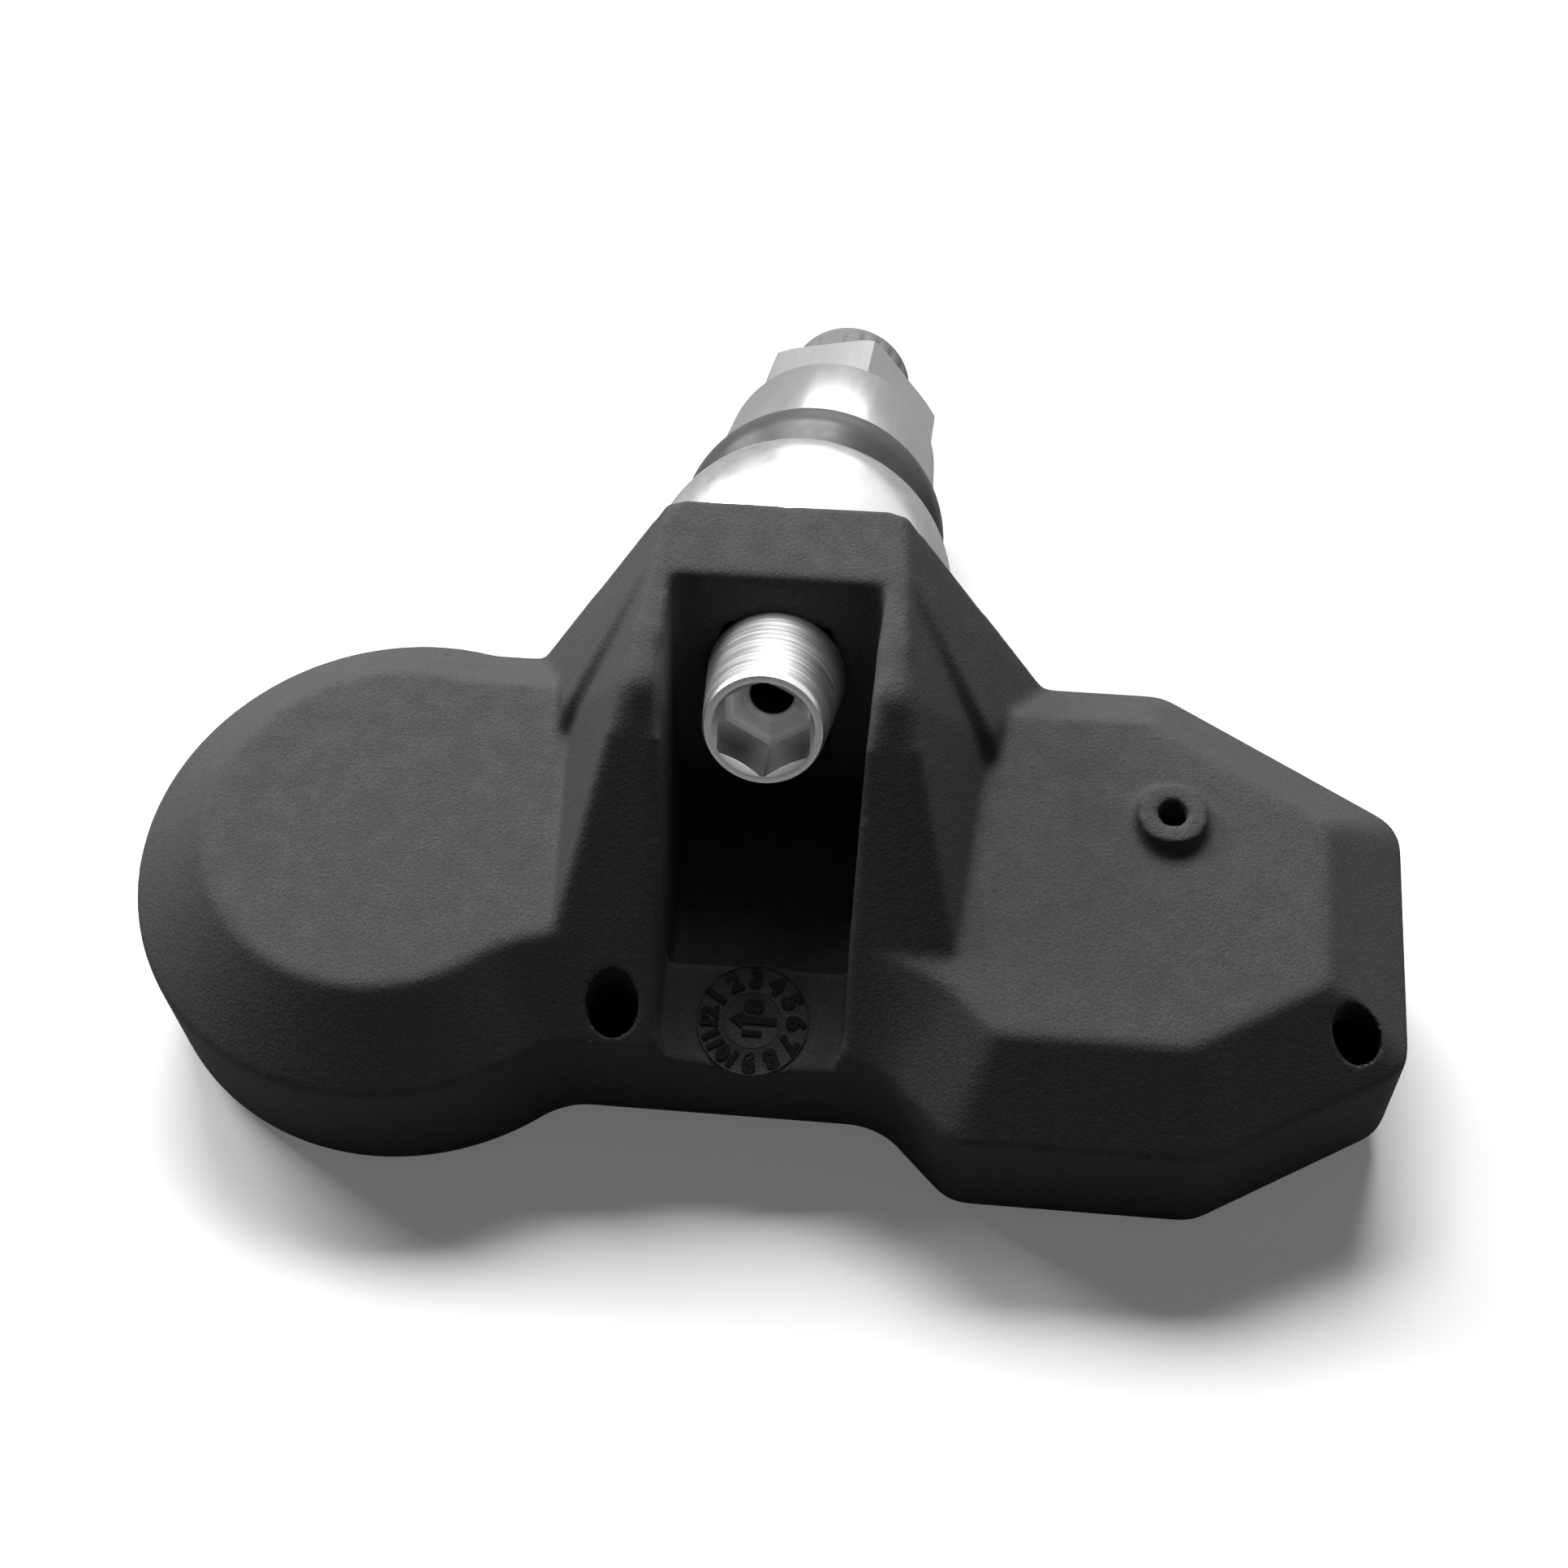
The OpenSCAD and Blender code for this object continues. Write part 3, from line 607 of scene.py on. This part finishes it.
# ---- valve: turned pieces in the valve's frame; radii and heights along it in mm ----
# *_T is a height from the ball's centre, *_R a radius, *_AF a size across flats
SEAT_T, HEAD_L, HEAD_R0, HEAD_R1 = 11.35, 6.7, 3.3, 3.88
SHANK_R, SOCKET_AF, SOCKET_DEEP, AIR_R = 2.9, 5.0, 3.8, 1.2
BALL_R, BALL_FLAT, RIM_T, NECK_R = 9.2, 8.6, 2.5, 4.4
NUT_T, COLLAR_T, HEX_T, CAP_T, STEM_T, CAP_END = 11.2, 21.8, 29.5, 29.8, 36.2, 38.3
COLLAR_R0, COLLAR_R1, NUT_AF, HEX_TURN = 7.45, 7.05, 11.8, -10.0
CORE_T, THREAD_R, PITCH, CAP_R = 28.0, 3.85, 0.794, 4.46
# depths of the thread's groove and of the cap's flutes
GROOVE, FLUTE = 0.36, 0.13

# hollow screw: grooved cone, hexagon socket with a drilled floor
head_end = -SEAT_T - HEAD_L
# the number of teeth, where they begin, and the length of the cone that stays without
TEETH, TEETH_FROM, TEETH_SHORT = 13, 0.28, 0.75


def tooth_edge(k):
    """Radius and height on the cone where tooth k starts."""
    t = head_end + TEETH_FROM + (HEAD_L - TEETH_SHORT) * k / TEETH
    return HEAD_R0 + (HEAD_R1 - HEAD_R0) * (t - head_end) / HEAD_L, t


grip = []
for k in range(TEETH):
    (r0, t0), (r1, t1) = tooth_edge(k), tooth_edge(k + 1)
    grip += [(r0, t0)] + [(r, t0 + share * (t1 - t0)) for r, share in
                          ((r0 + 0.01, 0.30), (r1 - 0.001, 0.70), (r1 - 0.004, 0.86))]
socket = SOCKET_AF / 2
screw_profile = ([(SHANK_R - 0.2, -1.05), (SHANK_R, -1.25), (SHANK_R, -SEAT_T + 0.1),
                  (HEAD_R1 - 0.12, -SEAT_T + 0.02), (HEAD_R1, -SEAT_T - 0.12)]
                 + grip[::-1]
                 + [(HEAD_R0 - 0.02, head_end + 0.16), (HEAD_R0 - 0.10, head_end + 0.03),
                    (HEAD_R0 - 0.2, head_end), (socket + 0.34, head_end),
                    (socket + 0.30, head_end + 0.02), (socket, head_end + 0.31),
                    (socket, head_end + 1.5), (socket, head_end + SOCKET_DEEP),
                    (AIR_R + 0.06, head_end + SOCKET_DEEP + 0.55),
                    (AIR_R, head_end + SOCKET_DEEP + 0.65), (AIR_R, -1.05)])


def socket_wave(angle, r, z):
    """Turns the socket's points into a hexagon with a corner at +Y, and its mouth into a cone."""
    if abs(r - socket) > 1e-6:
        return r, z
    reach = hex_radius(angle, SOCKET_AF, 30)
    if z < head_end + 0.5:
        z = head_end + 0.03 + max(0.0, socket + 0.30 - reach)
    return reach, z


screw_mesh = lathe("hollow_screw_skin", screw_profile, 192, socket_wave)
screw = add("hollow_screw_skin", soften(screw_mesh, 40), "screw_metal", "valve_body", valve_frame)
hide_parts("hollow_screw")
darken_bore(screw, head_end + SOCKET_DEEP + 0.6)

# stem: polished ball foot, neck and a threaded end
FOOT_STEPS = 80
low = math.degrees(math.asin(-BALL_FLAT / BALL_R))
high = math.degrees(math.asin(RIM_T / BALL_R))
foot = [(BALL_R * math.cos(math.radians(a)), BALL_R * math.sin(math.radians(a)))
        for a in (low + (high - low) * k / FOOT_STEPS for k in range(FOOT_STEPS + 1))]
rim = foot[-1][0]
thread = dense([(THREAD_R, CAP_T - 0.6), (THREAD_R, STEM_T - 0.45)], PITCH / 8)
stem_profile = ([(SHANK_R + 0.02, -1.0), (SHANK_R + 0.02, foot[0][1])] + foot
                + [(rim - 0.03, RIM_T + 0.06), (rim - 0.12, RIM_T + 0.09), (NECK_R, RIM_T + 0.09)]
                + dense([(NECK_R, NUT_T + 4), (4.0, NUT_T + 4.05), (4.0, CAP_T - 0.75)], 4)
                + thread
                + [(THREAD_R - 0.45, STEM_T), (2.25, STEM_T), (2.05, STEM_T - 0.2),
                   (2.05, CORE_T + 0.1), (1.6, CORE_T), (1.6, CORE_T - 3.5),
                   (AIR_R, CORE_T - 3.55), (AIR_R, -1.0)])


def thread_wave(angle, r, z):
    """A helical groove with sloped sides along the threaded end, running out towards the nut."""
    if abs(r - THREAD_R) > 1e-6:
        return r, z
    t = (z / PITCH - angle / (2 * math.pi)) % 1
    fade = min(1, (z - CAP_T + 0.6) / 0.8)
    return r - GROOVE * fade * max(0.0, min(1.0, 1.25 - 2.9 * abs(t - 0.5))), z


stem_mesh = lathe("valve_stem_skin", stem_profile, 256, thread_wave)
stem = add("valve_stem_skin", soften(stem_mesh, 36), "stem_metal", "valve_body", valve_frame)
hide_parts("valve_stem")

# rubber grommet
bulge = curve([(rim - 0.28, RIM_T + 0.12), (8.0, 3.0), (7.4, 3.7), (7.1, 4.8), (7.2, 5.8),
               (7.7, 6.8), (8.18, 7.8), (8.3, 8.9), (8.1, 10.0), (7.65, 10.9), (7.3, 11.18)], 5)
grommet_profile = ([(NECK_R, RIM_T + 0.1)] + bulge
                   + [(5.65, NUT_T), (5.65, NUT_T + 3.4), (5.2, NUT_T + 4), (NECK_R, NUT_T + 4)])
grommet_mesh = lathe("grommet_skin", grommet_profile)
grommet = add("grommet_skin", soften(grommet_mesh, 50), "rubber", "valve_body", valve_frame)
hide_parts("grommet")

# collar nut: tapered collar, hexagon with chamfered corners
hex_low = NUT_AF / 2
# the hexagon's top: its face's edge lies FACE_IN inside the flats, and the cone that cuts the
# corners starts CONE_FROM outside them
FACE_IN, CONE_FROM, CONE_SLOPE = 0.08, 0.45, 1.2
nut_profile = (rounded([(5.75, NUT_T + 0.02), (COLLAR_R0, NUT_T + 0.02),
                        (COLLAR_R1, COLLAR_T - 0.12), (COLLAR_R1 - 0.12, COLLAR_T)],
                       [0.1, 0.15, 0.02, 0.02], 3)
               + [(hex_low, COLLAR_T + 0.01), (hex_low, COLLAR_T + 2), (hex_low, HEX_T - 0.8),
                  (hex_low, HEX_T - 0.4), (hex_low - FACE_IN, HEX_T - 0.02), (hex_low - 0.3, HEX_T),
                  (4.3, HEX_T), (4.03, HEX_T - 0.25), (4.03, NUT_T + 4), (5.75, NUT_T + 3.9)])


def nut_wave(angle, r, z):
    """Turns the points at the flats' distance into the hexagon; its upper edge follows a cone."""
    on_flats, on_face = abs(r - hex_low) <= 1e-6, abs(r - hex_low + FACE_IN) <= 1e-6
    if not (on_flats or on_face):
        return r, z
    reach = hex_radius(angle, NUT_AF, 0)
    if on_face:
        return r + min(CONE_FROM, reach - hex_low), z
    if z > HEX_T - 0.5:
        z = HEX_T - 0.1 - CONE_SLOPE * max(0.0, reach - hex_low - CONE_FROM)
    return reach, z


nut_frame = valve_frame @ Matrix.Rotation(math.radians(HEX_TURN), 4, "Z")
nut_mesh = lathe("collar_nut_skin", nut_profile, 240, nut_wave)
nut = add("collar_nut_skin", soften(nut_mesh, 24), "nut_metal", "valve_body", nut_frame)
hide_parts("collar_nut")

# valve cap with soft ribs
RIBS = 24
cap_side = dense([(CAP_R, CAP_T + 1.0), (CAP_R, CAP_END - 1.5)], 0.4)
cap_profile = (rounded([(3.95, CAP_T), (CAP_R - 0.25, CAP_T), (CAP_R - 0.02, CAP_T + 0.3)], 0.1, 3)
               + [(CAP_R, CAP_T + 0.8)] + cap_side
               + [(CAP_R - 0.02, CAP_END - 1.0)]
               + curve([(CAP_R - 0.04, CAP_END - 0.62), (CAP_R - 0.22, CAP_END - 0.24),
                        (CAP_R - 0.62, CAP_END - 0.02), (CAP_R - 1.0, CAP_END)], 4)
               + [(0.01, CAP_END), (0.01, STEM_T + 0.72), (3.9, STEM_T + 0.72), (3.9, CAP_T + 0.4)])


def rib_wave(angle, r, z):
    """Shallow flutes round the cap, fading at both ends."""
    if r < CAP_R - 0.01:
        return r, z
    fade = max(0.0, min(1.0, (z - CAP_T - 0.9) / 0.6, (CAP_END - 1.2 - z) / 0.8))
    return r - FLUTE * fade * (0.5 + 0.5 * math.cos(RIBS * angle)) ** 2, z


cap_mesh = lathe("valve_cap_skin", cap_profile, 288, rib_wave)
cap = add("valve_cap_skin", soften(cap_mesh, 40), "cap_plastic", "cap_body", valve_frame)
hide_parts("valve_cap")

# ---- stage: a white table, a big soft light behind on the left, hardly any from the front ----
# half the table's side in metres; its grey to the camera with a glow on top, in mirrors, and to
# all other rays
FLOOR_HALF = 3
FLOOR_SEEN, FLOOR_LIFT, FLOOR_MIRRORED, FLOOR_BOUNCE = 0.98, 0.12, 0.25, 0.27
# the sky's strength on matt surfaces: all round, and more at both sides
SKY_DIFFUSE, SKY_SIDES = 0.018, 0.22
# the sky's strength in mirrors: low and high, then factors towards the viewer, left and right
SKY_LOW, SKY_HIGH, SKY_FRONT, SKY_LEFT, SKY_RIGHT = 0.62, 0.9, 0.2, 0.7, 1.3

floor_mesh = bpy.data.meshes.new("floor")
corners = [(x * FLOOR_HALF, y * FLOOR_HALF, 0) for x, y in ((-1, -1), (1, -1), (1, 1), (-1, 1))]
floor_mesh.from_pydata(corners, [], [(0, 1, 2, 3)])
floor = bpy.data.objects.new("floor", floor_mesh)
bpy.context.scene.collection.objects.link(floor)
paper = bpy.data.materials.new("paper")
paper.use_nodes = True
pt = paper.node_tree
pt.nodes.clear()


def matt(grey):
    n = pt.nodes.new("ShaderNodeBsdfDiffuse")
    n.inputs["Color"].default_value = (grey, grey, grey, 1)
    return n


def either(tree, output, off, on):
    """Shader off, or on for the rays that the Light Path output names."""
    ray = tree.nodes.new("ShaderNodeLightPath")
    n = tree.nodes.new("ShaderNodeMixShader")
    tree.links.new(ray.outputs[output], n.inputs["Fac"])
    tree.links.new(off.outputs[0], n.inputs[1])
    tree.links.new(on.outputs[0], n.inputs[2])
    return n


lift = pt.nodes.new("ShaderNodeEmission")
lift.inputs["Strength"].default_value = FLOOR_LIFT
seen = pt.nodes.new("ShaderNodeAddShader")
pt.links.new(matt(FLOOR_SEEN).outputs[0], seen.inputs[0])
pt.links.new(lift.outputs[0], seen.inputs[1])
unseen = either(pt, "Is Glossy Ray", matt(FLOOR_BOUNCE), matt(FLOOR_MIRRORED))
out = pt.nodes.new("ShaderNodeOutputMaterial")
pt.links.new(either(pt, "Is Camera Ray", unseen, seen).outputs[0], out.inputs["Surface"])
floor_mesh.materials.append(paper)

world = bpy.data.worlds.new("world")
bpy.context.scene.world = world
world.use_nodes = True
wt = world.node_tree
wt.nodes.clear()


def sky(strength):
    n = wt.nodes.new("ShaderNodeBackground")
    n.inputs["Color"].default_value = (1, 1, 1, 1)
    n.inputs["Strength"].default_value = strength
    return n


def ramp(value, low, high, to_low, to_high):
    """Maps low..high of a value to to_low..to_high."""
    n = wt.nodes.new("ShaderNodeMapRange")
    for name, v in (("From Min", low), ("From Max", high), ("To Min", to_low), ("To Max", to_high)):
        n.inputs[name].default_value = v
    wt.links.new(value, n.inputs["Value"])
    return n.outputs["Result"]


def maths(kind, a, b):
    n = wt.nodes.new("ShaderNodeMath")
    n.operation = kind
    for i, v in enumerate((a, b)):
        if isinstance(v, (int, float)):
            n.inputs[i].default_value = v
        else:
            wt.links.new(v, n.inputs[i])
    return n.outputs[0]


# metal sees a room that is paler overhead and behind on the right, and darker towards the viewer
where = wt.nodes.new("ShaderNodeTexCoord")
split = wt.nodes.new("ShaderNodeSeparateXYZ")
wt.links.new(where.outputs["Generated"], split.inputs[0])
x, y, z = (split.outputs[k] for k in "XYZ")
room = maths("MULTIPLY", ramp(z, 0.0, 0.6, SKY_LOW, SKY_HIGH), ramp(y, -0.5, 0.3, SKY_FRONT, 1.0))
room = maths("MINIMUM", maths("MULTIPLY", room, ramp(x, -0.4, 0.4, SKY_LEFT, SKY_RIGHT)), 1.0)
mirror_sky = sky(1.0)
wt.links.new(room, mirror_sky.inputs["Strength"])
# matt surfaces get a little light from both sides, low down
sides = maths("MULTIPLY", ramp(maths("ABSOLUTE", x, 0), 0.55, 1.0, 0.0, SKY_SIDES),
              ramp(z, 0.0, 0.6, 1.0, 0.0))
dim_sky = sky(SKY_DIFFUSE)
wt.links.new(maths("ADD", sides, SKY_DIFFUSE), dim_sky.inputs["Strength"])
unseen = either(wt, "Is Glossy Ray", dim_sky, mirror_sky)
out = wt.nodes.new("ShaderNodeOutputWorld")
wt.links.new(either(wt, "Is Camera Ray", unseen, sky(1.0)).outputs[0], out.inputs["Surface"])


def softbox(name, where, aim, size, power):
    data = bpy.data.lights.new(name, "AREA")
    data.shape = "RECTANGLE"
    data.size, data.size_y = size
    data.energy = power
    lamp = bpy.data.objects.new(name, data)
    bpy.context.scene.collection.objects.link(lamp)
    lamp.location = where
    lamp.rotation_euler = (Vector(aim) - Vector(where)).to_track_quat("-Z", "Y").to_euler()
    return lamp


# metres and watts; the low one behind is the bright band that the metal shows
softbox("key", (-0.12, 0.84, 1.10), (0, 0, 0), (0.86, 0.60), 24)
softbox("left", (-0.22, 0.12, 0.18), (-0.01, 0, 0), (0.12, 0.10), 0.6)
softbox("back", (0.02, 0.55, 0.10), (0, 0, 0.01), (0.24, 0.19), 0.20)
